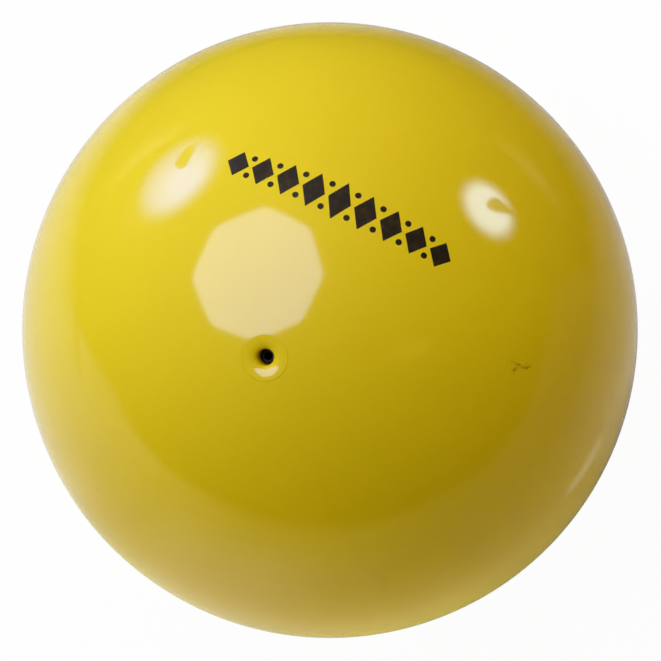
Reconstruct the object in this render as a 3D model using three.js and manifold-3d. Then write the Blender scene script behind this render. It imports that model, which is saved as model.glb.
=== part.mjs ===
// Rhythmic gymnastics ball: one hollow PVC wall with a needle valve set into it.
// Millimetres, +Z up. The origin is the ball's centre, and +Z runs out through the valve.

import * as THREE from 'three';
import { mergeVertices } from 'three/addons/utils/BufferGeometryUtils.js';
import Module from 'manifold-3d';

// Ball
const BALL_DIAMETER = 190;
const WALL = 3.1;

// Valve housing, a moulded plug with a bell mouth that leads the needle in
const MOUTH_WIDTH = 4.5;
const MOUTH_DEPTH = 2.4;
const FLANGE_REACH = 6.2;
const FLANGE_THICKNESS = 1.6;
const NECK_WALL = 2.3;
const RETAINER_THICKNESS = 1.8;

// Valve core, a rubber plug held in the housing's pocket
const NEEDLE_BORE = 2.2;
const BORE_LEAD_IN = 0.4;
const SPIGOT_WALL = 1;
const SPIGOT_LENGTH = 2.2;
const SPIGOT_RECESS = 2.3;
const BARREL_SHOULDER = 0.9;
const BARREL_LENGTH = 10.6;
const BARREL_CHAMFER = 0.5;

// Lips, the two halves of the core's slit tip
const LIP_LENGTH = 7;
const LIP_TIP_THICKNESS = 0.8;
const LIP_ENTRY_DEPTH = 3;

// Clearances
const SEAM_GAP = 0.15;
const FLANGE_SEAT_GAP = 0.3;
const CORE_CLEARANCE = 0.2;
const LIP_HINGE_GAP = 0.3;
const SLIT_GAP = 0.2;

// Share of the mouth's width and depth over which its curve keeps to its end directions
const MOUTH_EASE = 0.75;

// Fineness of the faceted surfaces
const BALL_SEGMENTS = 60;
const BALL_ARC_STEPS = 7;
const VALVE_SEGMENTS = 32;
const VALVE_ARC_STEPS = 3;
const MOUTH_STEPS = 10;

// Height above a sphere's centre of its surface at a distance from the axis
function heightOnSphere(sphereRadius, distance) {
  return Math.sqrt(sphereRadius ** 2 - distance ** 2);
}

// Angle of that same point, counted up from the plane through the centre
function angleOnSphere(sphereRadius, distance) {
  return Math.acos(distance / sphereRadius);
}

// Radii that follow from the sizes above
const ballRadius = BALL_DIAMETER / 2;
const innerRadius = ballRadius - WALL;
const boreRadius = NEEDLE_BORE / 2;
const spigotRadius = boreRadius + SPIGOT_WALL;
const barrelRadius = spigotRadius + BARREL_SHOULDER;
const throatRadius = spigotRadius + CORE_CLEARANCE;
const pocketRadius = barrelRadius + CORE_CLEARANCE;
const neckRadius = pocketRadius + NECK_WALL;
const housingRadius = throatRadius + MOUTH_WIDTH;
const holeRadius = housingRadius + SEAM_GAP;
const flangeRadius = housingRadius + FLANGE_REACH;
const flangeTopSphere = innerRadius - FLANGE_SEAT_GAP;
const flangeUnderSphere = flangeTopSphere - FLANGE_THICKNESS;

// Heights along the valve's axis, from the ball's surface inwards
const rimHeight = heightOnSphere(ballRadius, housingRadius);
const throatTop = rimHeight - MOUTH_DEPTH;
const spigotTop = throatTop - SPIGOT_RECESS;
const barrelTop = spigotTop - SPIGOT_LENGTH;
const barrelBottom = barrelTop - BARREL_LENGTH;
const pocketTop = barrelTop + CORE_CLEARANCE;
const pocketBottom = barrelBottom - CORE_CLEARANCE;
const neckBottom = pocketBottom - RETAINER_THICKNESS;
const lipTop = neckBottom - LIP_HINGE_GAP;

const yellowPvc = { color: 0xd9b61c, roughness: 0.1, metalness: 0 };
const blackButyl = { color: 0x141518, roughness: 0.7, metalness: 0 };

// The wall: up the outside from the lowest point, through the valve hole and down the inside
function ballShellGeometry() {
  const profile = new THREE.Path();
  profile.absarc(0, 0, ballRadius, -Math.PI / 2, 0, false);
  profile.absarc(0, 0, ballRadius, 0, angleOnSphere(ballRadius, holeRadius), false);
  profile.absarc(0, 0, innerRadius, angleOnSphere(innerRadius, holeRadius), 0, true);
  profile.absarc(0, 0, innerRadius, 0, -Math.PI / 2, true);
  return new THREE.LatheGeometry(profile.getPoints(BALL_ARC_STEPS), BALL_SEGMENTS);
}

// Draws on along a sphere about the ball's centre, from one distance off the axis to another
function followSphere(profile, sphereRadius, from, to) {
  const start = angleOnSphere(sphereRadius, from);
  const end = angleOnSphere(sphereRadius, to);
  profile.absarc(0, 0, sphereRadius, start, end, end < start);
}

// The bell mouth: level at the joint with the wall, upright where it runs into the throat
function mouthCurve() {
  return new THREE.CubicBezierCurve(
    new THREE.Vector2(housingRadius, rimHeight),
    new THREE.Vector2(housingRadius - MOUTH_EASE * MOUTH_WIDTH, rimHeight),
    new THREE.Vector2(throatRadius, throatTop + MOUTH_EASE * MOUTH_DEPTH),
    new THREE.Vector2(throatRadius, throatTop),
  );
}

// The housing: neck, flange seated under the wall, bell mouth, throat and core pocket
function valveHousingGeometry() {
  const outside = new THREE.Path();
  outside.moveTo(throatRadius, neckBottom);
  outside.lineTo(neckRadius, neckBottom);
  followSphere(outside, flangeUnderSphere, neckRadius, flangeRadius);
  followSphere(outside, flangeTopSphere, flangeRadius, housingRadius);

  const inside = new THREE.Path();
  inside.moveTo(throatRadius, pocketTop);
  inside.lineTo(pocketRadius, pocketTop);
  inside.lineTo(pocketRadius, pocketBottom);
  inside.lineTo(throatRadius, pocketBottom);
  inside.lineTo(throatRadius, neckBottom);

  const profile = [
    ...outside.getPoints(VALVE_ARC_STEPS),
    ...mouthCurve().getPoints(MOUTH_STEPS),
    ...inside.getPoints(),
  ];
  return new THREE.LatheGeometry(profile, VALVE_SEGMENTS);
}

// The core: tail, barrel, spigot standing in the throat, and the needle bore through them all
function valveCoreGeometry() {
  const profile = new THREE.Path();
  profile.moveTo(boreRadius, neckBottom);
  profile.lineTo(spigotRadius, neckBottom);
  profile.lineTo(spigotRadius, barrelBottom);
  profile.lineTo(barrelRadius - BARREL_CHAMFER, barrelBottom);
  profile.lineTo(barrelRadius, barrelBottom + BARREL_CHAMFER);
  profile.lineTo(barrelRadius, barrelTop - BARREL_CHAMFER);
  profile.lineTo(barrelRadius - BARREL_CHAMFER, barrelTop);
  profile.lineTo(spigotRadius, barrelTop);
  profile.lineTo(spigotRadius, spigotTop);
  profile.lineTo(boreRadius + BORE_LEAD_IN, spigotTop);
  profile.lineTo(boreRadius, spigotTop - BORE_LEAD_IN);
  profile.closePath();
  return new THREE.LatheGeometry(profile.getPoints(), VALVE_SEGMENTS);
}

const wasm = await Module();
wasm.setup();

// A closed geometry as a solid that can be joined and cut
function solidFrom(geometry) {
  geometry.deleteAttribute('normal');
  geometry.deleteAttribute('uv');
  const merged = mergeVertices(geometry);
  return new wasm.Manifold(new wasm.Mesh({
    numProp: 3,
    vertProperties: new Float32Array(merged.attributes.position.array),
    triVerts: new Uint32Array(merged.index.array),
  }));
}

// A cut solid back as a geometry
function geometryFrom(solid) {
  const mesh = solid.getMesh();
  const geometry = new THREE.BufferGeometry();
  geometry.setAttribute('position', new THREE.BufferAttribute(mesh.vertProperties, 3));
  geometry.setIndex(new THREE.BufferAttribute(mesh.triVerts, 1));
  geometry.computeVertexNormals();
  return geometry;
}

// One lip: a wedge beside the slit, rounded like the tail above it, with half of the bore's pointed end
function valveLipGeometry() {
  const outline = new THREE.Shape();
  outline.moveTo(SLIT_GAP / 2, lipTop);
  outline.lineTo(SLIT_GAP / 2, lipTop - LIP_LENGTH);
  outline.lineTo(SLIT_GAP / 2 + LIP_TIP_THICKNESS, lipTop - LIP_LENGTH);
  outline.lineTo(spigotRadius, lipTop);
  outline.closePath();
  const wedge = new THREE.ExtrudeGeometry(outline, { depth: 2 * spigotRadius, bevelEnabled: false });
  wedge.rotateY(-Math.PI / 2);
  wedge.translate(spigotRadius, 0, 0);

  const round = new THREE.CylinderGeometry(spigotRadius, spigotRadius, 2 * LIP_LENGTH, VALVE_SEGMENTS);
  round.translate(0, lipTop - LIP_LENGTH / 2, 0);

  const entry = new THREE.ConeGeometry(boreRadius, LIP_ENTRY_DEPTH, VALVE_SEGMENTS);
  entry.rotateX(Math.PI);
  entry.translate(0, lipTop - LIP_ENTRY_DEPTH / 2, 0);

  return geometryFrom(solidFrom(wedge).intersect(solidFrom(round)).subtract(solidFrom(entry)));
}

// A named piece with a material of its own
function piece(name, geometry, finish) {
  const mesh = new THREE.Mesh(geometry, new THREE.MeshStandardMaterial(finish));
  mesh.name = name;
  return mesh;
}

const ball = new THREE.Group();
ball.rotation.x = Math.PI / 2;
ball.add(piece('ball_shell', ballShellGeometry(), yellowPvc));
ball.add(piece('valve_housing', valveHousingGeometry(), yellowPvc));
ball.add(piece('valve_core', valveCoreGeometry(), blackButyl));
ball.add(piece('valve_lip_front', valveLipGeometry(), blackButyl));

const backLip = piece('valve_lip_back', valveLipGeometry(), blackButyl);
backLip.rotation.y = Math.PI;
ball.add(backLip);

export default ball;
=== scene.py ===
# Rhythmic gymnastics ball with a needle valve: its looks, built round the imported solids.
# Metres, in the same frame: the origin is the ball's centre, and +Z runs out through the valve.

import math

import bpy
from mathutils import Matrix, Vector
from mathutils.geometry import interpolate_bezier


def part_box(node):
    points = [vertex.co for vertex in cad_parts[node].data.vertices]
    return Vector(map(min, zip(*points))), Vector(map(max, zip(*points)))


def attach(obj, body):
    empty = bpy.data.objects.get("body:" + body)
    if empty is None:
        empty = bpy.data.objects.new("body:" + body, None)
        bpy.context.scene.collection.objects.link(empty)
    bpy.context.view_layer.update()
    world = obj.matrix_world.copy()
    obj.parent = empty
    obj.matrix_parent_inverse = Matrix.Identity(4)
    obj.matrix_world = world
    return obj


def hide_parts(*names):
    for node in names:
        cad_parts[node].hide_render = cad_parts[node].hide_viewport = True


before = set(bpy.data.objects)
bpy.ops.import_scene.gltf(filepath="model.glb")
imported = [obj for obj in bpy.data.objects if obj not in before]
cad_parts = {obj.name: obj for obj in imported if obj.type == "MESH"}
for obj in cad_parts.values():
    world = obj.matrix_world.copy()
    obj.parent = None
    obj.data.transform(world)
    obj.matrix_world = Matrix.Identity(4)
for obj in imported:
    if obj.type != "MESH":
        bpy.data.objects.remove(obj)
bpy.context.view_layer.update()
scene = bpy.context.scene
scene.view_settings.view_transform = "Standard"


# The ball's wall is one hollow shell of plasticised PVC, about 3 mm thick. It is cast in a closed mould that
# turns while the paste gels, so it has no seam. It cools unevenly, which leaves long shallow waves in its
# gloss.

WALL = 0.0031
JOINT_GAP = 0.000006
WAVE_HEIGHT = 0.00012
WAVE_LENGTH = 0.06
WALL_SEGMENTS = 192
WALL_RINGS = 230
RING_GATHERING = 1.5
WALL_WELD = 0.000001
WALL_CREASE = math.radians(40)

# Places on the grid that becomes the wall, from -0.5 at its lowest point outside to 0.5 at that point inside
HOLE_START = 0.24
HOLE_END = 0.26

# Shares of the way from the hole to the lowest point, where the waves start and are full
WAVES_START = 0.01
WAVES_FULL = 0.12

PVC_YELLOW = "#EACD0C"
PVC_YELLOW_DEEP = "#E4C409"
SCUFF_BROWN = "#A08006"
PVC_IOR = 1.54
CLOUD_SIZE = 0.05
HAZE_SIZE = 0.03
HAZE_CLEAR = 0.3
HAZE_DULL = 0.75
CLEAR_ROUGHNESS = 0.06
DULL_ROUGHNESS = 0.095
PEEL_SIZE = 0.005
PEEL_HEIGHT = 0.000012
SPECK_SPACING = 0.021
SPECK_SIZE = 0.0009
SPECK_SHADE = 0.55

# The scuff's place round the valve and its size, then its form as shares of its reach and of its noise
SCUFF_FROM_VALVE = math.radians(47.1)
SCUFF_TURN = math.radians(-159.9)
SCUFF_REACH = 0.0042
SCUFF_BREAK_SIZE = 0.0016
SCUFF_PATCHES_PER_BREAK = 0.7
SCUFF_FORK = 0.43
SCUFF_WANDER = 0.4
SCUFF_EDGE = 0.2
SCUFF_CORE = 0.02
SCUFF_END = 1.0
SCUFF_TAPER = 0.6
SCUFF_BARE = 0.4
SCUFF_WHOLE = 0.55
SCUFF_FAINTEST = 0.15

wall_low, wall_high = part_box("ball_shell")
housing_low, housing_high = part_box("valve_housing")
ball_radius = (wall_high.x - wall_low.x) / 2
face_radius = math.sqrt(ball_radius ** 2 - housing_high.z ** 2)


def linear(colour):
    """An sRGB hex colour as linear red, green, blue and alpha."""
    channels = [int(colour[i:i + 2], 16) / 255 for i in (1, 3, 5)]
    return [c / 12.92 if c <= 0.04045 else ((c + 0.055) / 1.055) ** 2.4 for c in channels] + [1]


def add(tree, kind, sockets=(), **settings):
    """Adds a node with its settings. Each of its sockets takes a value, or a link from an output."""
    made = tree.nodes.new(kind)
    for name, value in settings.items():
        setattr(made, name, value)
    for name, value in dict(sockets).items():
        socket = next(s for s in made.inputs if name in (s.identifier, s.name))
        if isinstance(value, bpy.types.NodeSocket):
            tree.links.new(value, socket)
        else:
            socket.default_value = value
    return made


def maths(tree, operation, *values, **settings):
    """Adds a node that does one operation on the values, and gives its result."""
    sockets = dict(zip(("Value", "Value_001", "Value_002"), values))
    return add(tree, "ShaderNodeMath", sockets, operation=operation, **settings).outputs[0]


def bare_material(name):
    """A new material and its tree, with no nodes in it yet."""
    made = bpy.data.materials.new(name)
    made.use_nodes = True
    made.node_tree.nodes.clear()
    return made, made.node_tree


def moulded_pvc():
    """Plasticised PVC straight from a polished mould: deep even colour, a wet gloss with sharp reflections,
    faintly uneven where it cooled and where hands have dulled it, with a few specks and one scuff."""
    made, tree = bare_material("plasticised_pvc_moulded")
    place = add(tree, "ShaderNodeTexCoord").outputs["Object"]

    clouds = add(tree, "ShaderNodeTexNoise", {"Vector": place, "Scale": 1 / CLOUD_SIZE, "Detail": 3.0})
    tone = add(tree, "ShaderNodeMix", {
        "Factor_Float": clouds.outputs[0],
        "A_Color": linear(PVC_YELLOW),
        "B_Color": linear(PVC_YELLOW_DEEP),
    }, data_type="RGBA")

    grit = add(tree, "ShaderNodeTexVoronoi", {"Vector": place, "Scale": 1 / SPECK_SPACING})
    specks = add(tree, "ShaderNodeMapRange", {
        "Value": grit.outputs["Distance"],
        "From Min": SPECK_SIZE / SPECK_SPACING / 2,
        "From Max": SPECK_SIZE / SPECK_SPACING / 4,
        "To Max": SPECK_SHADE,
    })

    # The scuff is one short stroke that forks, laid out flat at its place and broken up by noise
    scuffed = add(tree, "ShaderNodeMapping", {
        "Vector": place,
        "Rotation": (0, SCUFF_FROM_VALVE, SCUFF_TURN),
        "Scale": (SCUFF_REACH, SCUFF_REACH, SCUFF_REACH),
    }, vector_type="TEXTURE")
    laid_out = add(tree, "ShaderNodeSeparateXYZ", {"Vector": scuffed.outputs[0]}).outputs
    broken = add(tree, "ShaderNodeTexNoise", {"Vector": place, "Scale": 1 / SCUFF_BREAK_SIZE, "Detail": 1.0})
    wander = add(tree, "ShaderNodeMapRange", {
        "Value": broken.outputs[0], "To Min": -SCUFF_WANDER, "To Max": SCUFF_WANDER,
    })
    worn = add(tree, "ShaderNodeTexNoise", {
        "Vector": place, "Scale": SCUFF_PATCHES_PER_BREAK / SCUFF_BREAK_SIZE,
    })
    patches = add(tree, "ShaderNodeMapRange", {
        "Value": worn.outputs[0],
        "From Min": SCUFF_BARE, "From Max": SCUFF_WHOLE, "To Min": SCUFF_FAINTEST,
    })
    across = maths(tree, "ADD", laid_out["Y"], wander.outputs[0])
    off_middle = maths(tree, "ABSOLUTE", across)
    forked = maths(tree, "MULTIPLY", laid_out["X"], -SCUFF_FORK)
    fork = maths(tree, "MAXIMUM", forked, 0.0)
    off_stroke = maths(tree, "SUBTRACT", off_middle, fork)
    beside_stroke = maths(tree, "ABSOLUTE", off_stroke)
    near_stroke = add(tree, "ShaderNodeMapRange", {
        "Value": beside_stroke, "From Min": SCUFF_EDGE, "From Max": SCUFF_CORE,
    })
    off_scuff = maths(tree, "ABSOLUTE", laid_out["X"])
    near_scuff = add(tree, "ShaderNodeMapRange", {
        "Value": off_scuff, "From Min": SCUFF_END, "From Max": SCUFF_TAPER,
    })
    on_front = maths(tree, "GREATER_THAN", laid_out["Z"], 0.0)
    scuff = near_stroke.outputs[0]
    for limit in (near_scuff.outputs[0], patches.outputs[0], on_front):
        scuff = maths(tree, "MULTIPLY", scuff, limit)
    marks = maths(tree, "MAXIMUM", specks.outputs[0], scuff, use_clamp=True)
    colour = add(tree, "ShaderNodeMix", {
        "Factor_Float": marks,
        "A_Color": tone.outputs[2],
        "B_Color": linear(SCUFF_BROWN),
    }, data_type="RGBA")

    haze = add(tree, "ShaderNodeTexNoise", {"Vector": place, "Scale": 1 / HAZE_SIZE, "Detail": 4.0})
    dulled = add(tree, "ShaderNodeMapRange", {
        "Value": haze.outputs[0], "From Min": HAZE_CLEAR, "From Max": HAZE_DULL,
        "To Min": CLEAR_ROUGHNESS, "To Max": DULL_ROUGHNESS,
    })
    peel = add(tree, "ShaderNodeTexNoise", {"Vector": place, "Scale": 1 / PEEL_SIZE, "Detail": 1.0})
    relief = add(tree, "ShaderNodeBump", {"Height": peel.outputs[0], "Distance": PEEL_HEIGHT})
    body = add(tree, "ShaderNodeBsdfPrincipled", {
        "Base Color": colour.outputs[2],
        "Roughness": dulled.outputs[0],
        "Normal": relief.outputs[0],
        "IOR": PVC_IOR,
    })
    add(tree, "ShaderNodeOutputMaterial", {"Surface": body.outputs[0]})
    return made


def node_tree(name, inputs):
    """A Geometry Nodes tree that gives one geometry, and its input node, with a named input of each kind."""
    tree = bpy.data.node_groups.new(name, "GeometryNodeTree")
    for label, kind in inputs.items():
        tree.interface.new_socket(label, in_out="INPUT", socket_type=kind)
    tree.interface.new_socket("Geometry", in_out="OUTPUT", socket_type="NodeSocketGeometry")
    return tree, add(tree, "NodeGroupInput").outputs


def grown(name, tree, values):
    """A plain mesh object that a Geometry Nodes tree makes from the values of its named inputs."""
    made = bpy.data.objects.new(name, bpy.data.meshes.new(name))
    scene.collection.objects.link(made)
    modifier = made.modifiers.new("growth", "NODES")
    modifier.node_group = tree
    for item in tree.interface.items_tree:
        if item.in_out == "INPUT":
            modifier[item.identifier] = values[item.name]
    evaluated = made.evaluated_get(bpy.context.evaluated_depsgraph_get())
    mesh = bpy.data.meshes.new_from_object(evaluated)
    made.modifiers.remove(modifier)
    made.data = mesh
    mesh.name = name
    return made


def wall_tree():
    """The wall by its rule: a grid wrapped up the outside of the sphere, through the valve hole and back down
    the inside, with its rings gathered towards the hole, then swollen and drawn in by slow waves."""
    tree, given = node_tree("cast_wall", {
        "Radius": "NodeSocketFloat",
        "Wall": "NodeSocketFloat",
        "Hole Radius": "NodeSocketFloat",
        "Segments": "NodeSocketInt",
        "Rings": "NodeSocketInt",
        "Wave Height": "NodeSocketFloat",
        "Wave Length": "NodeSocketFloat",
        "Finish": "NodeSocketMaterial",
    })
    columns = maths(tree, "ADD", given["Segments"], 1.0)
    grid = add(tree, "GeometryNodeMeshGrid", {
        "Size X": 1.0, "Size Y": 1.0, "Vertices X": columns, "Vertices Y": given["Rings"],
    })
    at = add(tree, "ShaderNodeSeparateXYZ", {"Vector": add(tree, "GeometryNodeInputPosition").outputs[0]})

    # Share of the way to the hole that is left, 1 at the lowest point and 0 at the hole, on both sides alike
    left_outside = add(tree, "ShaderNodeMapRange", {
        "Value": at.outputs["Y"], "From Min": -0.5, "From Max": HOLE_START, "To Min": 1.0, "To Max": 0.0,
    })
    gathered = maths(tree, "POWER", left_outside.outputs[0], RING_GATHERING)
    left_inside = add(tree, "ShaderNodeMapRange", {
        "Value": at.outputs["Y"], "From Min": HOLE_END, "From Max": 0.5, "To Min": 0.0, "To Max": 1.0,
    })
    left = maths(tree, "MAXIMUM", gathered, left_inside.outputs[0])

    inner = maths(tree, "SUBTRACT", given["Radius"], given["Wall"])
    radius = add(tree, "ShaderNodeMapRange", {
        "Value": at.outputs["Y"], "From Min": HOLE_START, "From Max": HOLE_END,
        "To Min": given["Radius"], "To Max": inner,
    })
    hole_sine = maths(tree, "DIVIDE", given["Hole Radius"], radius.outputs[0])
    hole_angle = maths(tree, "ARCSINE", hole_sine)
    from_valve = add(tree, "ShaderNodeMapRange", {
        "Value": left, "To Min": hole_angle, "To Max": math.pi,
    })
    turn = maths(tree, "MULTIPLY", at.outputs["X"], 2 * math.pi)
    upright = add(tree, "ShaderNodeCombineXYZ", {"Z": radius.outputs[0]})
    tilted = add(tree, "ShaderNodeVectorRotate", {
        "Vector": upright.outputs[0], "Angle": from_valve.outputs[0],
    }, rotation_type="Y_AXIS")
    round_about = add(tree, "ShaderNodeVectorRotate", {
        "Vector": tilted.outputs[0], "Angle": turn,
    }, rotation_type="Z_AXIS")

    # The waves die out towards the hole, so that the valve's face lies flush
    waves_per_metre = maths(tree, "DIVIDE", 1.0, given["Wave Length"])
    waves = add(tree, "ShaderNodeTexNoise", {
        "Vector": round_about.outputs[0], "Scale": waves_per_metre, "Detail": 0.0,
    })
    share = maths(tree, "DIVIDE", given["Wave Height"], given["Radius"])
    fade = add(tree, "ShaderNodeMapRange", {
        "Value": left, "From Min": WAVES_START, "From Max": WAVES_FULL, "To Max": share,
    })
    centred = maths(tree, "SUBTRACT", waves.outputs[0], 0.5)
    swell = maths(tree, "MULTIPLY_ADD", centred, fade.outputs[0], 1.0)
    waved = add(tree, "ShaderNodeVectorMath", {
        "Vector": round_about.outputs[0], "Scale": swell,
    }, operation="SCALE")

    shaped = add(tree, "GeometryNodeSetPosition", {
        "Geometry": grid.outputs["Mesh"], "Position": waved.outputs[0],
    })
    closed = add(tree, "GeometryNodeMergeByDistance", {"Geometry": shaped.outputs[0], "Distance": WALL_WELD})
    fold = add(tree, "GeometryNodeInputMeshEdgeAngle")
    sharp = maths(tree, "GREATER_THAN", fold.outputs["Unsigned Angle"], WALL_CREASE)
    smooth = add(tree, "GeometryNodeSetShadeSmooth", {"Geometry": closed.outputs[0], "Shade Smooth": True})
    creased = add(tree, "GeometryNodeSetShadeSmooth", {
        "Geometry": smooth.outputs[0], "Selection": sharp, "Shade Smooth": False,
    }, domain="EDGE")
    whole = add(tree, "GeometryNodeRealizeInstances", {"Geometry": creased.outputs[0]})
    dressed = add(tree, "GeometryNodeSetMaterial", {
        "Geometry": whole.outputs[0], "Material": given["Finish"],
    })
    add(tree, "NodeGroupOutput", {"Geometry": dressed.outputs[0]})
    return tree


pvc = moulded_pvc()
wall = grown("ball_wall", wall_tree(), {
    "Radius": ball_radius,
    "Wall": WALL,
    "Hole Radius": face_radius + JOINT_GAP,
    "Segments": WALL_SEGMENTS,
    "Rings": WALL_RINGS,
    "Wave Height": WAVE_HEIGHT,
    "Wave Length": WAVE_LENGTH,
    "Finish": pvc,
})
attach(wall, "ball")
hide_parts("ball_shell")


# The valve housing is a plug of the same PVC, moulded with a bell mouth that leads the needle in, a flange
# that is welded under the wall, and a neck with a pocket for the rubber core. Its face lies flush with the
# ball.

MOUTH_DEPTH = 0.0024
MOUTH_EASE = 0.75
THROAT_RADIUS = 0.0023
FLANGE_SEAT = 0.0003
FLANGE_THICKNESS = 0.0016
NECK_WALL = 0.0023
RETAINER = 0.0018
CORE_CLEARANCE = 0.0002
SPIGOT_LENGTH = 0.0022
RIM_EASE = 0.00002
HOUSING_SEGMENTS = 128
MOUTH_STEPS = 40
FLANGE_STEPS = 8

# Corners that turn by more than this are rounded, with handles that reach this share of the way to them
EASED_TURN = math.radians(25)
EASE_PULL = 0.55
EASE_STEPS = 4
SHARP_EDGE = math.radians(35)

core_low, core_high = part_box("valve_core")
barrel_radius = core_high.x
barrel_top = core_high.z - SPIGOT_LENGTH


def along_sphere(radius, start, end, steps):
    """Points along a sphere about the ball's centre, from one distance off the valve's axis to another."""
    distances = [start + (end - start) * i / steps for i in range(steps + 1)]
    return [Vector((d, math.sqrt(radius ** 2 - d ** 2))) for d in distances]


def eased(outline, radius):
    """A closed outline whose sharp corners are rounded off, starting at most a radius from each."""
    rounded = []
    for i, corner in enumerate(outline):
        back = outline[i - 1] - corner
        onward = outline[(i + 1) % len(outline)] - corner
        if back.angle(-onward) < EASED_TURN:
            rounded.append(corner)
            continue
        first = corner + back.normalized() * min(radius, back.length / 2)
        last = corner + onward.normalized() * min(radius, onward.length / 2)
        handles = [p.lerp(corner, EASE_PULL) for p in (first, last)]
        rounded += interpolate_bezier(first, *handles, last, EASE_STEPS)
    return rounded


def turned(name, outline, segments, finish):
    """A closed outline of radius and height, turned once round the valve's axis."""
    count = len(outline)
    points = []
    faces = []
    for step in range(segments):
        turn = 2 * math.pi * step / segments
        points += [(p[0] * math.cos(turn), p[0] * math.sin(turn), p[1]) for p in outline]
        here = step * count
        there = (step + 1) % segments * count
        for i in range(count):
            j = (i + 1) % count
            faces.append((here + i, there + i, there + j, here + j))
    mesh = bpy.data.meshes.new(name)
    mesh.from_pydata(points, [], faces)
    mesh.materials.append(finish)
    mesh.shade_smooth()
    mesh.set_sharp_from_angle(angle=SHARP_EDGE)
    made = bpy.data.objects.new(name, mesh)
    scene.collection.objects.link(made)
    return made


flange_top = ball_radius - WALL - FLANGE_SEAT
throat_top = housing_high.z - MOUTH_DEPTH
pocket_radius = barrel_radius + CORE_CLEARANCE
neck_radius = pocket_radius + NECK_WALL
pocket_top = barrel_top + CORE_CLEARANCE
pocket_bottom = housing_low.z + RETAINER
mouth_width = face_radius - THROAT_RADIUS
mouth = interpolate_bezier(
    Vector((face_radius, housing_high.z)),
    Vector((face_radius - MOUTH_EASE * mouth_width, housing_high.z)),
    Vector((THROAT_RADIUS, throat_top + MOUTH_EASE * MOUTH_DEPTH)),
    Vector((THROAT_RADIUS, throat_top)),
    MOUTH_STEPS,
)
housing_outline = [
    Vector((THROAT_RADIUS, housing_low.z)),
    Vector((neck_radius, housing_low.z)),
    *along_sphere(flange_top - FLANGE_THICKNESS, neck_radius, housing_high.x, FLANGE_STEPS),
    *along_sphere(flange_top, housing_high.x, face_radius, FLANGE_STEPS),
    *mouth,
    Vector((THROAT_RADIUS, pocket_top)),
    Vector((pocket_radius, pocket_top)),
    Vector((pocket_radius, pocket_bottom)),
    Vector((THROAT_RADIUS, pocket_bottom)),
]
housing = turned("valve_plug", eased(housing_outline, RIM_EASE), HOUSING_SEGMENTS, pvc)
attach(housing, "ball")
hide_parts("valve_housing")


# The valve core is a black butyl plug, pressed into the housing's pocket from inside. Its spigot stands in
# the throat, and the needle goes through the bore in its middle.

BORE_RADIUS = 0.0011
SPIGOT_WALL = 0.001
CORE_EASE = 0.0003
CORE_SEGMENTS = 64
BUTYL_BLACK = "#070503"
BUTYL_IOR = 1.52
BUTYL_SPECULAR = 0.2
BUTYL_ROUGHNESS = 0.5
BLOOM_GREY = "#0E0B0A"
BLOOM_SIZE = 0.0012
BLOOM_START = 0.45
BLOOM_FULL = 0.75
BLOOM_ROUGHNESS = 0.75
GRAIN_SIZE = 0.0003
GRAIN_HEIGHT = 0.00001


def moulded_butyl():
    """Carbon-black butyl rubber from a press mould: a warm black with hardly any sheen, a fine grain, and a
    faint bloom in patches where the wax has come to the surface."""
    made, tree = bare_material("butyl_rubber_moulded")
    place = add(tree, "ShaderNodeTexCoord").outputs["Object"]
    bloom = add(tree, "ShaderNodeTexNoise", {"Vector": place, "Scale": 1 / BLOOM_SIZE, "Detail": 3.0})
    patches = add(tree, "ShaderNodeMapRange", {
        "Value": bloom.outputs[0], "From Min": BLOOM_START, "From Max": BLOOM_FULL,
    })
    colour = add(tree, "ShaderNodeMix", {
        "Factor_Float": patches.outputs[0],
        "A_Color": linear(BUTYL_BLACK),
        "B_Color": linear(BLOOM_GREY),
    }, data_type="RGBA")
    sheen = add(tree, "ShaderNodeMapRange", {
        "Value": patches.outputs[0], "To Min": BUTYL_ROUGHNESS, "To Max": BLOOM_ROUGHNESS,
    })
    grain = add(tree, "ShaderNodeTexNoise", {"Vector": place, "Scale": 1 / GRAIN_SIZE, "Detail": 2.0})
    relief = add(tree, "ShaderNodeBump", {"Height": grain.outputs[0], "Distance": GRAIN_HEIGHT})
    body = add(tree, "ShaderNodeBsdfPrincipled", {
        "Base Color": colour.outputs[2],
        "Roughness": sheen.outputs[0],
        "Normal": relief.outputs[0],
        "IOR": BUTYL_IOR,
        "Specular IOR Level": BUTYL_SPECULAR,
    })
    add(tree, "ShaderNodeOutputMaterial", {"Surface": body.outputs[0]})
    return made


butyl = moulded_butyl()
spigot_radius = BORE_RADIUS + SPIGOT_WALL
barrel_bottom = pocket_bottom + CORE_CLEARANCE
core_outline = [
    Vector((BORE_RADIUS, core_low.z)),
    Vector((spigot_radius, core_low.z)),
    Vector((spigot_radius, barrel_bottom)),
    Vector((barrel_radius, barrel_bottom)),
    Vector((barrel_radius, barrel_top)),
    Vector((spigot_radius, barrel_top)),
    Vector((spigot_radius, core_high.z)),
    Vector((BORE_RADIUS, core_high.z)),
]
core = turned("valve_rubber", eased(core_outline, CORE_EASE), CORE_SEGMENTS, butyl)
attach(core, "ball")
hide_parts("valve_core")


# The two lips are the slit tip of that core. They hang inside the ball, close on each other under the air's
# pressure and part round the needle, so their solids stay as they are and take the same rubber.

for name in ("valve_lip_front", "valve_lip_back"):
    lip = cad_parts[name]
    lip.data.materials.clear()
    lip.data.materials.append(butyl)


# The print is a plain border of lozenges and dots, in one dark ink, screen printed on the finished ball
# beside the valve. The ink lies on the gloss as a thin film and follows the wall's curve.

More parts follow.
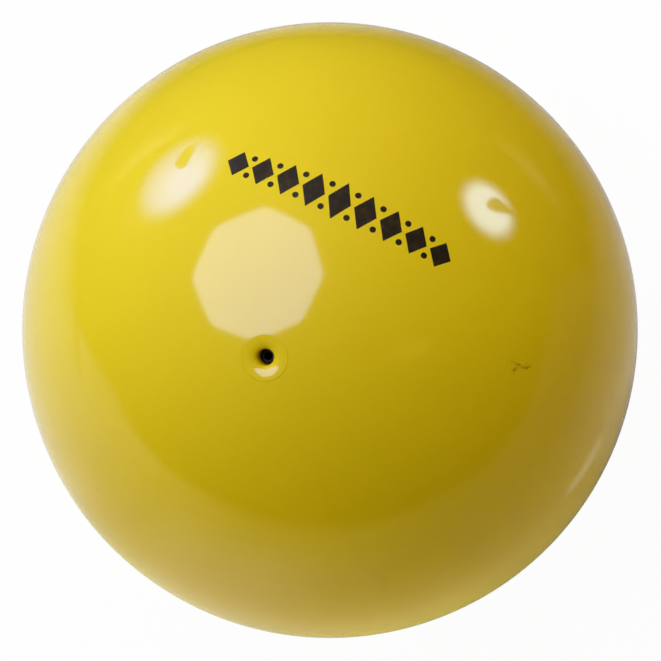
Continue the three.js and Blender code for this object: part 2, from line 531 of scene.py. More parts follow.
PRINT_FROM_VALVE = 0.0508
PRINT_LENGTH = 0.066
PRINT_MOTIFS = 17
LOZENGE_WIDTH = 0.0072
LOZENGE_HEIGHT = 0.0126
LOZENGE_END_HEIGHT = 0.0084
DOT_DIAMETER = 0.0019
DOT_RISE = 0.0041
LOZENGE_GRID = 11
DOT_POINTS = 24
INK_FILM = 0.00003
INK_SUNK = 0.00002
INK_WELD = 0.000002
INK_BROWN_BLACK = "#1F1503"
INK_THIN = "#3A2A08"
INK_IOR = 1.5
INK_ROUGHNESS = 0.14
INK_DULL_ROUGHNESS = 0.24
INK_CLOUD_SIZE = 0.002
INK_THIN_START = 0.45
INK_THIN_FULL = 0.8


def screen_ink():
    """Solvent ink for vinyl, screen printed: a warm black, a little uneven where the mesh let less through,
    with nearly the gloss of the PVC that it has bitten into."""
    made, tree = bare_material("vinyl_ink_screen_printed")
    place = add(tree, "ShaderNodeTexCoord").outputs["Object"]
    clouds = add(tree, "ShaderNodeTexNoise", {"Vector": place, "Scale": 1 / INK_CLOUD_SIZE, "Detail": 4.0})
    thin = add(tree, "ShaderNodeMapRange", {
        "Value": clouds.outputs[0], "From Min": INK_THIN_START, "From Max": INK_THIN_FULL,
    })
    colour = add(tree, "ShaderNodeMix", {
        "Factor_Float": thin.outputs[0],
        "A_Color": linear(INK_BROWN_BLACK),
        "B_Color": linear(INK_THIN),
    }, data_type="RGBA")
    gloss = add(tree, "ShaderNodeMapRange", {
        "Value": clouds.outputs[0], "To Min": INK_ROUGHNESS, "To Max": INK_DULL_ROUGHNESS,
    })
    body = add(tree, "ShaderNodeBsdfPrincipled", {
        "Base Color": colour.outputs[2],
        "Roughness": gloss.outputs[0],
        "IOR": INK_IOR,
    })
    add(tree, "ShaderNodeOutputMaterial", {"Surface": body.outputs[0]})
    return made


def print_tree():
    """A row of lozenges that get lower to both ends, with a dot above and below each gap. The flat row is
    wrapped round the ball by casting each point inwards onto the wall, and gets the ink's thickness there."""
    tree, given = node_tree("printed_border", {
        "Wall": "NodeSocketObject",
        "Radius": "NodeSocketFloat",
        "From Valve": "NodeSocketFloat",
        "Length": "NodeSocketFloat",
        "Motifs": "NodeSocketInt",
        "Lozenge Width": "NodeSocketFloat",
        "Lozenge Height": "NodeSocketFloat",
        "End Height": "NodeSocketFloat",
        "Dot Diameter": "NodeSocketFloat",
        "Dot Rise": "NodeSocketFloat",
        "Film": "NodeSocketFloat",
        "Sunk": "NodeSocketFloat",
        "Finish": "NodeSocketMaterial",
    })
    half = maths(tree, "MULTIPLY", given["Length"], 0.5)
    start = maths(tree, "MULTIPLY", half, -1.0)
    row = add(tree, "GeometryNodeMeshLine", {
        "Count": given["Motifs"],
        "Start Location": add(tree, "ShaderNodeCombineXYZ", {"X": start}).outputs[0],
        "Offset": add(tree, "ShaderNodeCombineXYZ", {"X": half}).outputs[0],
    }, mode="END_POINTS")
    index = add(tree, "GeometryNodeInputIndex")
    is_dot = maths(tree, "MODULO", index.outputs[0], 2.0)
    is_lozenge = maths(tree, "SUBTRACT", 1.0, is_dot)
    spot = add(tree, "ShaderNodeSeparateXYZ", {"Vector": add(tree, "GeometryNodeInputPosition").outputs[0]})
    off_middle = maths(tree, "ABSOLUTE", spot.outputs["X"])
    height = add(tree, "ShaderNodeMapRange", {
        "Value": off_middle, "From Max": half,
        "To Min": given["Lozenge Height"], "To Max": given["End Height"],
    })

    square = add(tree, "GeometryNodeMeshGrid", {
        "Size X": 1.0, "Size Y": 1.0, "Vertices X": LOZENGE_GRID, "Vertices Y": LOZENGE_GRID,
    })
    lozenge = add(tree, "GeometryNodeTransform", {
        "Geometry": square.outputs["Mesh"],
        "Rotation": (0, 0, math.radians(45)),
        "Scale": (math.sqrt(0.5), math.sqrt(0.5), 1),
    })
    lozenge_size = add(tree, "ShaderNodeCombineXYZ", {
        "X": given["Lozenge Width"], "Y": height.outputs[0], "Z": 1.0,
    })
    lozenges = add(tree, "GeometryNodeInstanceOnPoints", {
        "Points": row.outputs[0],
        "Selection": is_lozenge,
        "Instance": lozenge.outputs[0],
        "Scale": lozenge_size.outputs[0],
    })
    motifs = add(tree, "GeometryNodeJoinGeometry", {"Geometry": lozenges.outputs[0]})

    dot_radius = maths(tree, "MULTIPLY", given["Dot Diameter"], 0.5)
    dot = add(tree, "GeometryNodeMeshCircle", {
        "Vertices": DOT_POINTS, "Radius": dot_radius,
    }, fill_type="NGON")
    rise_share = maths(tree, "DIVIDE", given["Dot Rise"], given["Lozenge Height"])
    for side in (1.0, -1.0):
        sided = maths(tree, "MULTIPLY", rise_share, side)
        rise = maths(tree, "MULTIPLY", height.outputs[0], sided)
        raised = add(tree, "GeometryNodeSetPosition", {
            "Geometry": row.outputs[0],
            "Offset": add(tree, "ShaderNodeCombineXYZ", {"Y": rise}).outputs[0],
        })
        dots = add(tree, "GeometryNodeInstanceOnPoints", {
            "Points": raised.outputs[0],
            "Selection": is_dot,
            "Instance": dot.outputs["Mesh"],
        })
        tree.links.new(dots.outputs[0], motifs.inputs["Geometry"])
    flat = add(tree, "GeometryNodeRealizeInstances", {"Geometry": motifs.outputs[0]})

    # Along the row is a turn round the ball, across it is a tilt, and a last turn brings the row to its
    # place. The rays start a metre from the ball's centre and run in towards it.
    along, across, place = [
        maths(tree, "DIVIDE", length, given["Radius"])
        for length in (spot.outputs["X"], spot.outputs["Y"], given["From Valve"])
    ]
    tilt, lean = [maths(tree, "MULTIPLY", angle, -1.0) for angle in (across, place)]
    tilted = add(tree, "ShaderNodeVectorRotate", {
        "Vector": (0, 0, 1), "Angle": tilt,
    }, rotation_type="X_AXIS")
    wrapped = add(tree, "ShaderNodeVectorRotate", {
        "Vector": tilted.outputs[0], "Angle": along,
    }, rotation_type="Y_AXIS")
    leaning = add(tree, "ShaderNodeCombineXYZ", {"X": lean, "Z": math.pi})
    outwards = add(tree, "ShaderNodeVectorRotate", {
        "Vector": wrapped.outputs[0], "Rotation": leaning.outputs[0],
    }, rotation_type="EULER_XYZ")
    inwards = add(tree, "ShaderNodeVectorMath", {
        "Vector": outwards.outputs[0], "Scale": -1.0,
    }, operation="SCALE")
    carrier = add(tree, "GeometryNodeObjectInfo", {"Object": given["Wall"]})
    cast = add(tree, "GeometryNodeRaycast", {
        "Target Geometry": carrier.outputs["Geometry"],
        "Source Position": outwards.outputs[0],
        "Ray Direction": inwards.outputs[0],
        "Ray Length": 1.0,
    })
    sink = maths(tree, "MULTIPLY", given["Sunk"], -1.0)
    sunk = add(tree, "ShaderNodeVectorMath", {
        "Vector": outwards.outputs[0], "Scale": sink,
    }, operation="SCALE")
    laid = add(tree, "GeometryNodeSetPosition", {
        "Geometry": flat.outputs[0], "Position": cast.outputs["Hit Position"], "Offset": sunk.outputs[0],
    })
    thickness = maths(tree, "ADD", given["Film"], given["Sunk"])
    film = add(tree, "GeometryNodeExtrudeMesh", {
        "Mesh": laid.outputs[0], "Offset Scale": thickness, "Individual": False,
    })
    underside = add(tree, "GeometryNodeFlipFaces", {"Mesh": laid.outputs[0]})
    both = add(tree, "GeometryNodeJoinGeometry", {"Geometry": film.outputs["Mesh"]})
    tree.links.new(underside.outputs[0], both.inputs["Geometry"])
    closed = add(tree, "GeometryNodeMergeByDistance", {"Geometry": both.outputs[0], "Distance": INK_WELD})
    whole = add(tree, "GeometryNodeRealizeInstances", {"Geometry": closed.outputs[0]})
    dressed = add(tree, "GeometryNodeSetMaterial", {
        "Geometry": whole.outputs[0], "Material": given["Finish"],
    })
    add(tree, "NodeGroupOutput", {"Geometry": dressed.outputs[0]})
    return tree


border = grown("printed_border", print_tree(), {
    "Wall": wall,
    "Radius": ball_radius,
    "From Valve": PRINT_FROM_VALVE,
    "Length": PRINT_LENGTH,
    "Motifs": PRINT_MOTIFS,
    "Lozenge Width": LOZENGE_WIDTH,
    "Lozenge Height": LOZENGE_HEIGHT,
    "End Height": LOZENGE_END_HEIGHT,
    "Dot Diameter": DOT_DIAMETER,
    "Dot Rise": DOT_RISE,
    "Film": INK_FILM,
    "Sunk": INK_SUNK,
    "Finish": screen_ink(),
})
border.data.shade_smooth()
border.data.set_sharp_from_angle(angle=SHARP_EDGE)
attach(border, "ball")


# The floor is a wide board, painted matt white. A sheet of white paper lies on it, with its front edge close
# before the ball, and rises out of sight far behind. The gloss shows the paper, and the dim room before its
# edge. No lamp lights the paper: its light, the ball's shadow at its foot and the fall-off are painted in
# its glow, and it shows only in the gloss.

FLOOR_REACH = 7.0
WHITE = "#FFFFFF"
FLOOR_WHITE = "#EDEDEB"
FLOOR_WHITENESS = 0.97
# Near the ball's foot the white fades: partly painted shade, partly letting the board's real shadow show
CONTACT_WHITENESS = 0.4
CONTACT_END = 0.075
# Painted bounce light, which the floor gives off to diffuse rays: its strength all round and from behind, its
# painted shade under the ball and how far that reaches, the side it comes most from, and its colour
FLOOR_BOUNCE = 0.145
BACK_BOUNCE = 1.7
SHADED_BOUNCE = 0.1
BOUNCE_SHADE_END = 0.2
BACK_SIDE = 190
BOUNCE_CREAM = "#FFF7DC"
DIM_LIFT = 0.0001
PAPER_LIFT = 0.0002
GLINT_LIFT = 0.0004
BALL_LIGHT_LIFT = 0.0006
PAPER_REACH = 2.4
PAPER_END = 4.8
CONTACT_REACH = 0.13
CONTACT_REACH_SHARE = 0.9
OPEN_REACH = 0.2
FAR_REACH = 0.6
# The ball's painted shadow on the paper at its foot: the side it falls to, how deep it is there, and how dark
# the paper is right under the ball
CONTACT_SIDE = 225
CONTACT_SHADE = 0.55
UNDER_SHADE = 0.3

# The paper at each azimuth, in degrees from -Y towards +X: its painted light, and the distances where it
# starts and ends fading
PAPER_FRONT = [
    (-100, 0.24, 0.25, 0.5), (-84, 0.44, 0.17, 0.42), (-67, 0.52, 0.1, 0.32), (-52, 0.5, 0.11, 0.25),
    (-37, 0.46, 0.1, 0.19), (-20, 0.46, 0.11, 0.175), (0, 0.42, 0.105, 0.165), (28, 0.5, 0.125, 0.175),
    (43, 0.56, 0.13, 0.18), (58, 0.52, 0.135, 0.2), (73, 0.75, 0.17, 0.27), (87, 0.72, 0.22, 0.38),
    (101, 0.82, 0.31, 0.8), (114, 0.86, 0.6, PAPER_REACH),
]

# Behind the ball: the paper's painted light at each azimuth near the ball, far from it and at its top,
# and the heights where it starts and ends fading
PAPER_BACK = [
    (114, 0.86, 0.8, 0.5, 0, 0.15), (129, 0.88, 0.83, 0.62, 0.55, 0.8),
    (143, 0.74, 0.65, 0.66, 0.65, 0.88), (150, 0.52, 0.54, 0.53, 0.76, 0.97),
    (158, 0.48, 0.51, 0.38, 0.84, 1.02), (166, 0.6, 0.7, 0.4, 0.85, 1.12),
    (180, 0.58, 0.7, 0.26, 0.86, 1.16), (188, 0.5, 0.68, 0.24, 0.82, 1.15),
    (196, 0.43, 0.48, 0.25, 0.78, 1.12), (203, 0.38, 0.33, 0.21, 0.72, 1.06),
    (217, 0.34, 0.2, 0.18, 0.6, 0.97), (232, 0.27, 0.15, 0.15, 0.48, 0.8),
    (247, 0.25, 0.15, 0.13, 0.25, 0.58), (258, 0.23, 0.13, 0.12, 0.12, 0.38),
    (270, 0.2, 0.1, 0.1, 0, 0.12),
]

# Painted light: the yellow light that the ball throws back on that paper, added as a glow: how brightly, at
# the same azimuths
BALL_GLOWS = [0, 0.05, 0.25, 0.38, 0.5, 0.45, 0.4, 0.45, 0.5, 0.55, 0.5, 0.35, 0.2, 0.15, 0]
BALL_LIGHT = "#FFF500"
BALL_LIGHT_NEAR = 0.7

# Right of the ball the paper's painted light is dim beyond that pool of light: its brightness and reach at
# each azimuth
PAPER_DIM = [
    (-115, 0.15, PAPER_REACH), (-100, 0.13, PAPER_REACH), (-80, 0.11, PAPER_REACH),
    (-67, 0.1, 1.08), (-57, 0.09, 0.71), (-53, 0.08, 0.33),
]

# Shares of that reach, and how much of the dim paper covers what lies behind it there
DIM_FADE = [(0, 1), (0.9, 1), (1.1, 0)]

# Three painted pools of light on the paper, which show as glints in the gloss: the ends of each, its width
# and how bright it is
PAPER_GLINTS = [
    ((-0.166, -0.002), (-0.19, 0.058), 0.034, 0.7),
    ((-0.125, -0.36), (-0.149, -0.21), 0.1, 0.26),
    ((0.53, -0.07), (0.9, -0.47), 0.32, 0.75),
]

# Shares of the way along such a spot, and how much its middle covers the paper there
GLINT_FADE = [(0, 0), (0.3, 1), (0.7, 1), (1, 0)]


def towards(azimuth, elevation):
    """The direction from the ball's centre to a place at an azimuth and an elevation, both in degrees."""
    turn = math.radians(azimuth)
    rise = math.radians(elevation)
    return Vector((math.sin(turn) * math.cos(rise), -math.cos(turn) * math.cos(rise), math.sin(rise)))


def flat_piece(name, points, finish):
    """One flat face through the points, which belongs to the stage and not to the object."""
    mesh = bpy.data.meshes.new(name)
    mesh.from_pydata(points, [], [range(len(points))])
    mesh.materials.append(finish)
    made = bpy.data.objects.new(name, mesh)
    scene.collection.objects.link(made)
    return made


def white_floor():
    """Matt white board. It shows the camera mostly white, with the ball's shadow where they meet: there
    the white fades, partly as painted shade and partly so that the board's real shadow shows. It glows to
    diffuse rays with painted bounce light up at the ball, most of it from behind, with painted shade under
    the ball."""
    made, tree = bare_material("matt_white_board")
    place = add(tree, "ShaderNodeTexCoord").outputs["Object"]
    board = add(tree, "ShaderNodeBsdfDiffuse", {"Color": linear(FLOOR_WHITE)})
    white = add(tree, "ShaderNodeEmission", {"Color": linear(WHITE), "Strength": 1.0})
    path = add(tree, "ShaderNodeLightPath").outputs
    from_centre = add(tree, "ShaderNodeVectorMath", {"Vector": place}, operation="LENGTH")
    outwards = add(tree, "ShaderNodeVectorMath", {"Vector": place}, operation="NORMALIZE")
    backwards = add(tree, "ShaderNodeVectorMath", {
        "Vector": outwards.outputs[0], "Vector_001": towards(BACK_SIDE, 0),
    }, operation="DOT_PRODUCT")
    thrown = add(tree, "ShaderNodeMapRange", {
        "Value": backwards.outputs["Value"], "To Min": FLOOR_BOUNCE, "To Max": FLOOR_BOUNCE + BACK_BOUNCE,
    })
    unshaded = add(tree, "ShaderNodeMapRange", {
        "Value": from_centre.outputs["Value"],
        "From Min": -floor_height,
        "From Max": math.hypot(floor_height, BOUNCE_SHADE_END),
        "To Min": SHADED_BOUNCE,
    }, interpolation_type="SMOOTHSTEP")
    left_over = maths(tree, "MULTIPLY", thrown.outputs[0], unshaded.outputs[0])
    bounced = maths(tree, "MULTIPLY", path["Is Diffuse Ray"], left_over)
    bounce = add(tree, "ShaderNodeEmission", {"Color": linear(BOUNCE_CREAM), "Strength": bounced})
    lit_board = add(tree, "ShaderNodeAddShader", {
        "Shader": board.outputs[0], "Shader_001": bounce.outputs[0],
    })
    mirrored = maths(tree, "ADD", path["Is Glossy Ray"], path["Is Transmission Ray"])
    seen = maths(tree, "ADD", path["Is Camera Ray"], mirrored)
    whiteness = add(tree, "ShaderNodeMapRange", {
        "Value": from_centre.outputs["Value"],
        "From Min": -floor_height,
        "From Max": math.hypot(floor_height, CONTACT_END),
        "To Min": CONTACT_WHITENESS,
        "To Max": FLOOR_WHITENESS,
    }, interpolation_type="SMOOTHSTEP")
    share = maths(tree, "MULTIPLY", seen, whiteness.outputs[0])
    both = add(tree, "ShaderNodeMixShader", {
        "Fac": share, "Shader": lit_board.outputs[0], "Shader_001": white.outputs[0],
    })
    add(tree, "ShaderNodeOutputMaterial", {"Surface": both.outputs[0]})
    return made


def lit_sheet(name, colour=WHITE):
    """Something lit or glowing, as bright as its points say, which thins out where its cover ends."""
    made, tree = bare_material(name)
    glow = add(tree, "ShaderNodeAttribute", attribute_name="glow")
    cover = add(tree, "ShaderNodeAttribute", attribute_name="cover")
    light = add(tree, "ShaderNodeEmission", {"Color": linear(colour), "Strength": glow.outputs["Fac"]})
    nothing = add(tree, "ShaderNodeBsdfTransparent")
    thinned = add(tree, "ShaderNodeMixShader", {
        "Fac": cover.outputs["Fac"], "Shader": nothing.outputs[0], "Shader_001": light.outputs[0],
    })
    add(tree, "ShaderNodeOutputMaterial", {"Surface": thinned.outputs[0]})
    return made


def thrown_light(name, colour):
    """Painted light that comes on top of whatever lies behind it, as bright as its points say."""
    made, tree = bare_material(name)
    glow = add(tree, "ShaderNodeAttribute", attribute_name="glow")
    light = add(tree, "ShaderNodeEmission", {"Color": linear(colour), "Strength": glow.outputs["Fac"]})
    behind = add(tree, "ShaderNodeBsdfTransparent")
    both = add(tree, "ShaderNodeAddShader", {"Shader": behind.outputs[0], "Shader_001": light.outputs[0]})
    add(tree, "ShaderNodeOutputMaterial", {"Surface": both.outputs[0]})
    return made


def shown_in_gloss(name, rows, finish):
    """A sheet through rows of points that shows in the ball's gloss and nowhere else. Each entry of a row is
    a point, its glow and its cover."""
    columns = len(rows[0])
    entries = [entry for row in rows for entry in row]
    starts = [i * columns + j for i in range(len(rows) - 1) for j in range(columns - 1)]
    mesh = bpy.data.meshes.new(name)
    mesh.from_pydata(
        [point for point, glow, cover in entries], [],
        [(s, s + 1, s + columns + 1, s + columns) for s in starts],
    )
    glows = mesh.attributes.new("glow", "FLOAT", "POINT")
    glows.data.foreach_set("value", [glow for point, glow, cover in entries])
    covers = mesh.attributes.new("cover", "FLOAT", "POINT")
    covers.data.foreach_set("value", [cover for point, glow, cover in entries])
    mesh.materials.append(finish)
    made = bpy.data.objects.new(name, mesh)
    scene.collection.objects.link(made)
    made.visible_camera = False
    made.visible_diffuse = False
    made.visible_shadow = False


def on_floor(azimuth, distance, height):
    """A point round the ball, at an azimuth in degrees and a height over the floor."""
    return towards(azimuth, 0) * distance + Vector((0, 0, floor_height + height))


def contact_glow(azimuth, glow):
    """How bright the paper's painted light is at the ball's foot, with a painted shadow of the ball on the
    side away from the lights.
    """
    facing = max(0, math.cos(math.radians(azimuth - CONTACT_SIDE)))
    return glow * (1 - CONTACT_SHADE * facing ** 2)


floor_height = wall_low.z
floor_corners = [(-1, -1), (1, -1), (1, 1), (-1, 1)]
floor_points = [(x * FLOOR_REACH, y * FLOOR_REACH, floor_height) for x, y in floor_corners]
floor = flat_piece("floor", floor_points, white_floor())
floor.visible_glossy = False

paper_sides = [(azimuth, glow, glow, solid, end) for azimuth, glow, solid, end in PAPER_FRONT]
for azimuth, near, far, top, solid, end in PAPER_BACK[1:-1]:
    paper_sides.append((azimuth, near, far, PAPER_REACH, PAPER_END))
paper_columns = []
for azimuth, near, far, solid, end in paper_sides:
    # The foot of each column takes the ball's painted shadow, darkest right under the ball
    foot = contact_glow(azimuth, near)
    foot_reach = min(CONTACT_REACH, CONTACT_REACH_SHARE * solid)
    open_reach = (solid + foot_reach) / 2 if solid < 2 * OPEN_REACH else OPEN_REACH
    far_reach = (solid + open_reach) / 2 if solid < 2 * FAR_REACH else FAR_REACH
    paper_columns.append([
        (on_floor(azimuth, 0, PAPER_LIFT), foot * UNDER_SHADE, 1),
        (on_floor(azimuth, foot_reach, PAPER_LIFT), foot, 1),
        (on_floor(azimuth, open_reach, PAPER_LIFT), near, 1),
        (on_floor(azimuth, far_reach, PAPER_LIFT), far, 1),
        (on_floor(azimuth, solid, PAPER_LIFT), far, 1),
        (on_floor(azimuth, end, PAPER_LIFT), far, 0),
    ])
paper_columns.append(paper_columns[0])
white_paper = lit_sheet("white_paper_painted_light")
shown_in_gloss("paper", list(zip(*paper_columns)), white_paper)

dim_rows = []
for share, cover in DIM_FADE:
    dim_rows.append([
        (on_floor(azimuth, reach * share, DIM_LIFT), glow, cover) for azimuth, glow, reach in PAPER_DIM
    ])
shown_in_gloss("paper_dim", dim_rows, white_paper)

for i, (start, end, width, glow) in enumerate(PAPER_GLINTS):
    start = Vector(start)
    end = Vector(end)
    aside = (end - start).orthogonal().normalized() * width / 2
    glint_rows = []
    for along, middle_cover in GLINT_FADE:
        spots = [start.lerp(end, along) + aside * side for side in (-1, 0, 1)]
        glint_rows.append([
            ((spot.x, spot.y, floor_height + GLINT_LIFT), glow, cover)
            for spot, cover in zip(spots, (0, middle_cover, 0))
        ])
    shown_in_gloss(f"paper_glint_{i}", glint_rows, white_paper)

ball_light_reach = PAPER_REACH - PAPER_LIFT
rise_columns = []
ball_light_columns = []
for (azimuth, near, far, top, solid, end), glow in zip(PAPER_BACK, BALL_GLOWS):
    rise_columns.append([
        (on_floor(azimuth, PAPER_REACH, 0), far, 1),
        (on_floor(azimuth, PAPER_REACH, solid), top, 1),
        (on_floor(azimuth, PAPER_REACH, end), top, 0),
    ])
    ball_light_columns.append([
        (on_floor(azimuth, 0, BALL_LIGHT_LIFT), 0, 1),
        (on_floor(azimuth, CONTACT_REACH, BALL_LIGHT_LIFT), glow * BALL_LIGHT_NEAR, 1),
        (on_floor(azimuth, ball_light_reach, BALL_LIGHT_LIFT), glow, 1),
        (on_floor(azimuth, ball_light_reach, solid), glow, 1),
        (on_floor(azimuth, ball_light_reach, end), 0, 1),
    ])
shown_in_gloss("paper_rise", list(zip(*rise_columns)), white_paper)
ball_light = thrown_light("light_off_yellow_pvc", BALL_LIGHT)
shown_in_gloss("paper_thrown_light", list(zip(*ball_light_columns)), ball_light)


# The lights are an eight-sided softbox high on one side and two silver umbrellas low down, each with its
# flash head in front of it. Their bright faces only show in the gloss: lamps at or near them, and a weak
# one far behind, light the ball.

SOFTBOX = {"azimuth": 55.9, "elevation": 61.6, "distance": 1.09}
SOFTBOX_RADIUS = 0.467
SOFTBOX_SIDES = 8
SOFTBOX_ROLL = math.radians(-14.75)
SOFTBOX_CORNER = 0.03
SOFTBOX_FADE = [(0, 1), (0.965, 1), (1.035, 0)]
SOFTBOX_GLOW = 6.0
SOFTBOX_POWER = 10.6
LEFT_UMBRELLA = {"azimuth": 67, "elevation": 10.5, "distance": 0.87}
LEFT_RADIUS = 0.2
LEFT_MIDDLE = Vector((0, 0.012))
LEFT_HOT_SPOT = Vector((0.03, 0.11))
LEFT_HOT_REACH = 0.07
LEFT_DARK_REACH = 0.33
LEFT_GLOW = 11.9
LEFT_LAMP = {"azimuth": 76, "elevation": 10.5, "distance": 0.87}
LEFT_POWER = 2.4
RIGHT_UMBRELLA = {"azimuth": -29.2, "elevation": 5.35, "distance": 0.526}
RIGHT_RADIUS = 0.077
RIGHT_MIDDLE = Vector((0.0015, 0.0125))
RIGHT_GLOW = 10.5
RIGHT_LAMP = {"azimuth": -29.8, "elevation": 5.5, "distance": 0.8}
RIGHT_POWER = 1.1
BACK_LAMP = {"azimuth": 200, "elevation": 1.3, "distance": 3.2}
BACK_RADIUS = 0.16
BACK_POWER = 3.5
CEILING_PANEL = {"azimuth": -70.5, "elevation": 49, "distance": 1.2}
PANEL_GLOW = 0.75
PANEL_WARM = "#FFCB76"
PANEL_FADE = [(0, 1), (0.85, 1), (1.15, 0)]
PANEL_MIDDLE = Vector((-0.01, 0.01))
PANEL_CORNERS = [(-0.081, 0.109), (-0.088, -0.16), (0.023, -0.07), (0.058, -0.012), (0.063, 0.19)]
HEAD_STANDOFF = 0.97
HEAD_FADE = [(0, 1), (1, 1)]
HEAD_GLOW = 0.6
COLD_GLOW = "#C4CEFF"
LEFT_COLD = "#84A4FF"
RIGHT_COLD = "#C4E0FF"
FLASH_WHITE = "#F0F8FD"
LEFT_WHITE = "#E6FFFF"
RIGHT_WHITE = "#FFF2DE"
BACK_WHITE = "#FFF0DC"

# The outlines of both flash heads, each with its stalk, in front of its umbrella
LEFT_HEAD = [
    (0.015, -0.045), (0.028, 0), (0.06, 0.006), (0.093, -0.036), (0.116, -0.071), (0.107, -0.1),
    (0.071, -0.102), (0.044, -0.084),
]
LEFT_HEAD_MIDDLE = Vector((0.06, -0.05))
RIGHT_HEAD = [
    (-0.015, 0.006), (-0.018, -0.017), (-0.009, -0.041), (0.016, -0.053), (0.051, -0.068), (0.025, -0.012),
    (0.01, 0.01), (-0.003, 0.015),
]
RIGHT_HEAD_MIDDLE = Vector((-0.001, -0.013))

# Shares of a lining's reach, and how much of its light it gives there
LINING_FADE = [(0, 1), (0.25, 1), (0.5, 1), (0.7, 1), (0.85, 0.8), (1, 0.4), (1.15, 0.12), (1.3, 0)]
LINING_POINTS = 32

ROOM_WARM = "#FF7C50"
ROOM_FILL = 0.062
ROOM_GLEAM = 0.015
ROOM_BRIGHT_GLEAM = 0.52
ROOM_BRIGHT_AZIMUTH = 60
ROOM_BRIGHT_ELEVATION = 31
ROOM_BRIGHT_FOCUS = 3.5


def facing_ball(azimuth, elevation, distance):
    """Turns a flat card that looks along +Z to look at the ball from a place round it, upright."""
    back = towards(azimuth, elevation)
    right = Vector((0, 0, 1)).cross(-back).normalized()
    axes = Matrix((right, (-back).cross(right), -back)).transposed()
    return Matrix.Translation(back * distance) @ axes.to_4x4()


def card(name, place, outline, middle, fade, glow_at, finish):
    """A flat card round the ball, filled out from its middle to its outline, with a glow for each spot."""
    at = facing_ball(**place)
    rows = []
    for reach, cover in fade:
        spots = [middle.lerp(Vector(point), reach) for point in [*outline, outline[0]]]
        rows.append([(at @ spot.to_3d(), glow_at(spot), cover) for spot in spots])
    shown_in_gloss(name, rows, finish)


def lamp(name, place, radius, power, colour):
    """A round lamp at a place round the ball, which lights surfaces but doesn't show in their gloss."""
    made = bpy.data.objects.new(name, bpy.data.lights.new(name, "AREA"))
    made.data.shape = "DISK"
    made.data.size = 2 * radius
    made.data.energy = power
    made.data.color = linear(colour)[:3]
    made.matrix_world = facing_ball(**place) @ Matrix.Rotation(math.pi, 4, "X")
    made.visible_glossy = False
    scene.collection.objects.link(made)


def even(glow):
    """The glow of a card that is alike all over."""
    return lambda spot: glow


def left_glow(spot):
    """The left lining is lit off its middle, and dimmer away from there."""
    off_spot = (spot - LEFT_HOT_SPOT).length
    share = (LEFT_DARK_REACH - off_spot) / (LEFT_DARK_REACH - LEFT_HOT_REACH)
    return LEFT_GLOW * min(1, max(0, share))


softbox_corners = []
for i in range(SOFTBOX_SIDES):
    turn = SOFTBOX_ROLL + 2 * math.pi * i / SOFTBOX_SIDES
    softbox_corners.append(Vector((math.cos(turn), math.sin(turn))) * SOFTBOX_RADIUS)
softbox_outline = eased(softbox_corners, SOFTBOX_CORNER)
diffuser = lit_sheet("softbox_diffuser", COLD_GLOW)
card("softbox", SOFTBOX, softbox_outline, Vector((0, 0)), SOFTBOX_FADE, even(SOFTBOX_GLOW), diffuser)

umbrellas = {
    "left": (LEFT_UMBRELLA, LEFT_MIDDLE, LEFT_RADIUS, left_glow, LEFT_COLD),
    "right": (RIGHT_UMBRELLA, RIGHT_MIDDLE, RIGHT_RADIUS, even(RIGHT_GLOW), RIGHT_COLD),
}
heads = {"left": (LEFT_HEAD, LEFT_HEAD_MIDDLE), "right": (RIGHT_HEAD, RIGHT_HEAD_MIDDLE)}
turns = [2 * math.pi * i / LINING_POINTS for i in range(LINING_POINTS)]
black_case = lit_sheet("black_flash_head")
for side, (place, middle, radius, glow_at, cold) in umbrellas.items():
    lining = [middle + Vector((math.cos(turn), math.sin(turn))) * radius for turn in turns]
    silver = lit_sheet(f"{side}_silver_lining", cold)
    card(f"{side}_umbrella", place, lining, middle, LINING_FADE, glow_at, silver)
    head, head_middle = heads[side]
    head_place = {**place, "distance": place["distance"] * HEAD_STANDOFF}
    card(f"{side}_flash_head", head_place, head, head_middle, HEAD_FADE, even(HEAD_GLOW), black_case)

# A pale ceiling panel, whose lit face is a painted reflection: a glow that shows only in the gloss
painted_ceiling_glow = lit_sheet("pale_ceiling", PANEL_WARM)
card("ceiling_panel", CEILING_PANEL, PANEL_CORNERS, PANEL_MIDDLE, PANEL_FADE, even(PANEL_GLOW), painted_ceiling_glow)

lamp("softbox_lamp", SOFTBOX, SOFTBOX_RADIUS, SOFTBOX_POWER, FLASH_WHITE)
lamp("left_lamp", LEFT_LAMP, LEFT_RADIUS, LEFT_POWER, LEFT_WHITE)
lamp("right_lamp", RIGHT_LAMP, RIGHT_RADIUS, RIGHT_POWER, RIGHT_WHITE)
lamp("back_lamp", BACK_LAMP, BACK_RADIUS, BACK_POWER, BACK_WHITE)
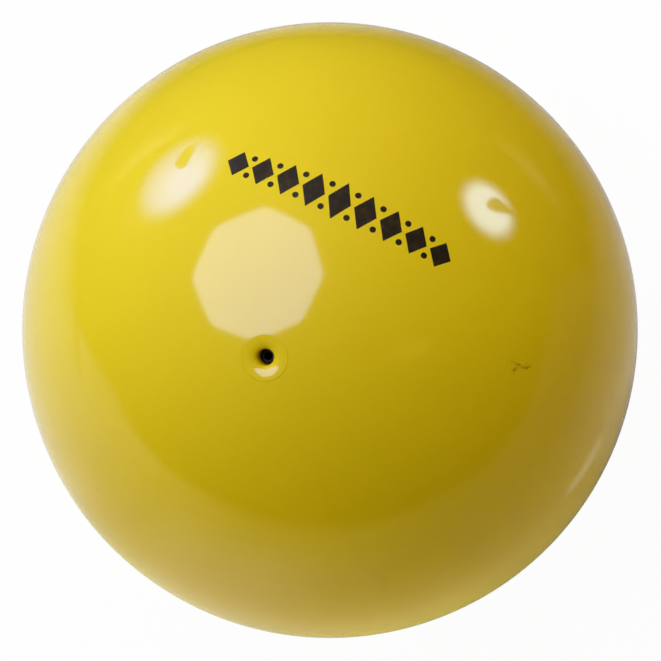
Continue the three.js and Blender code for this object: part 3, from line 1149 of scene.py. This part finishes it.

# The room lights the ball softly and warmly, is white to the camera, and has a painted gleam on one side,
# which shows only in the gloss
scene.world = bpy.data.worlds.new("room")
scene.world.use_nodes = True
tree = scene.world.node_tree
tree.nodes.clear()
path = add(tree, "ShaderNodeLightPath").outputs
looking = add(tree, "ShaderNodeTexCoord").outputs["Generated"]
bright_side = towards(ROOM_BRIGHT_AZIMUTH, ROOM_BRIGHT_ELEVATION)
facing = add(tree, "ShaderNodeVectorMath", {
    "Vector": looking, "Vector_001": bright_side,
}, operation="DOT_PRODUCT")
nearness = add(tree, "ShaderNodeMapRange", {
    "Value": facing.outputs["Value"], "From Min": -1.0, "From Max": 1.0,
})
gathered = maths(tree, "POWER", nearness.outputs[0], ROOM_BRIGHT_FOCUS)
gleam = add(tree, "ShaderNodeMapRange", {
    "Value": gathered, "To Min": ROOM_GLEAM, "To Max": ROOM_GLEAM + ROOM_BRIGHT_GLEAM,
})
warm = add(tree, "ShaderNodeBackground", {"Color": linear(ROOM_WARM), "Strength": ROOM_FILL})
mirrored = add(tree, "ShaderNodeBackground", {"Color": linear(WHITE), "Strength": gleam.outputs[0]})
white = add(tree, "ShaderNodeBackground", {"Color": linear(WHITE), "Strength": 1.0})
lit_or_mirrored = add(tree, "ShaderNodeMixShader", {
    "Fac": path["Is Glossy Ray"], "Shader": warm.outputs[0], "Shader_001": mirrored.outputs[0],
})
seen = maths(tree, "ADD", path["Is Camera Ray"], path["Is Transmission Ray"])
room = add(tree, "ShaderNodeMixShader", {
    "Fac": seen, "Shader": lit_or_mirrored.outputs[0], "Shader_001": white.outputs[0],
})
add(tree, "ShaderNodeOutputWorld", {"Surface": room.outputs[0]})


# The camera looks down on the ball from the valve's side, with the print above the valve in the picture.

CAMERA_AZIMUTH = -43.2
CAMERA_ELEVATION = 77.66
CAMERA_DISTANCE = 1.2
PICTURE_UP_AZIMUTH = 23.4
PICTURE_WIDTH_PIXELS = 661
BALL_WIDTH_PIXELS = 616
SENSOR_MILLIMETRES = 36
SHIFT = (0.0009, -0.0006)
CLIP_NEAR = 0.012
CLIP_FAR = 120

camera = bpy.data.objects.new("camera", bpy.data.cameras.new("camera"))
scene.collection.objects.link(camera)
scene.camera = camera
half_ball = math.tan(math.asin(ball_radius / CAMERA_DISTANCE))
half_view = half_ball * PICTURE_WIDTH_PIXELS / BALL_WIDTH_PIXELS
camera.data.sensor_width = SENSOR_MILLIMETRES
camera.data.lens = camera.data.sensor_width / 2 / half_view
camera.data.shift_x, camera.data.shift_y = SHIFT
camera.data.clip_start = CLIP_NEAR
camera.data.clip_end = CLIP_FAR
back = towards(CAMERA_AZIMUTH, CAMERA_ELEVATION)
right = towards(PICTURE_UP_AZIMUTH, 0).cross(back).normalized()
axes = Matrix((right, back.cross(right), back)).transposed()
camera.matrix_world = Matrix.Translation(back * CAMERA_DISTANCE) @ axes.to_4x4()
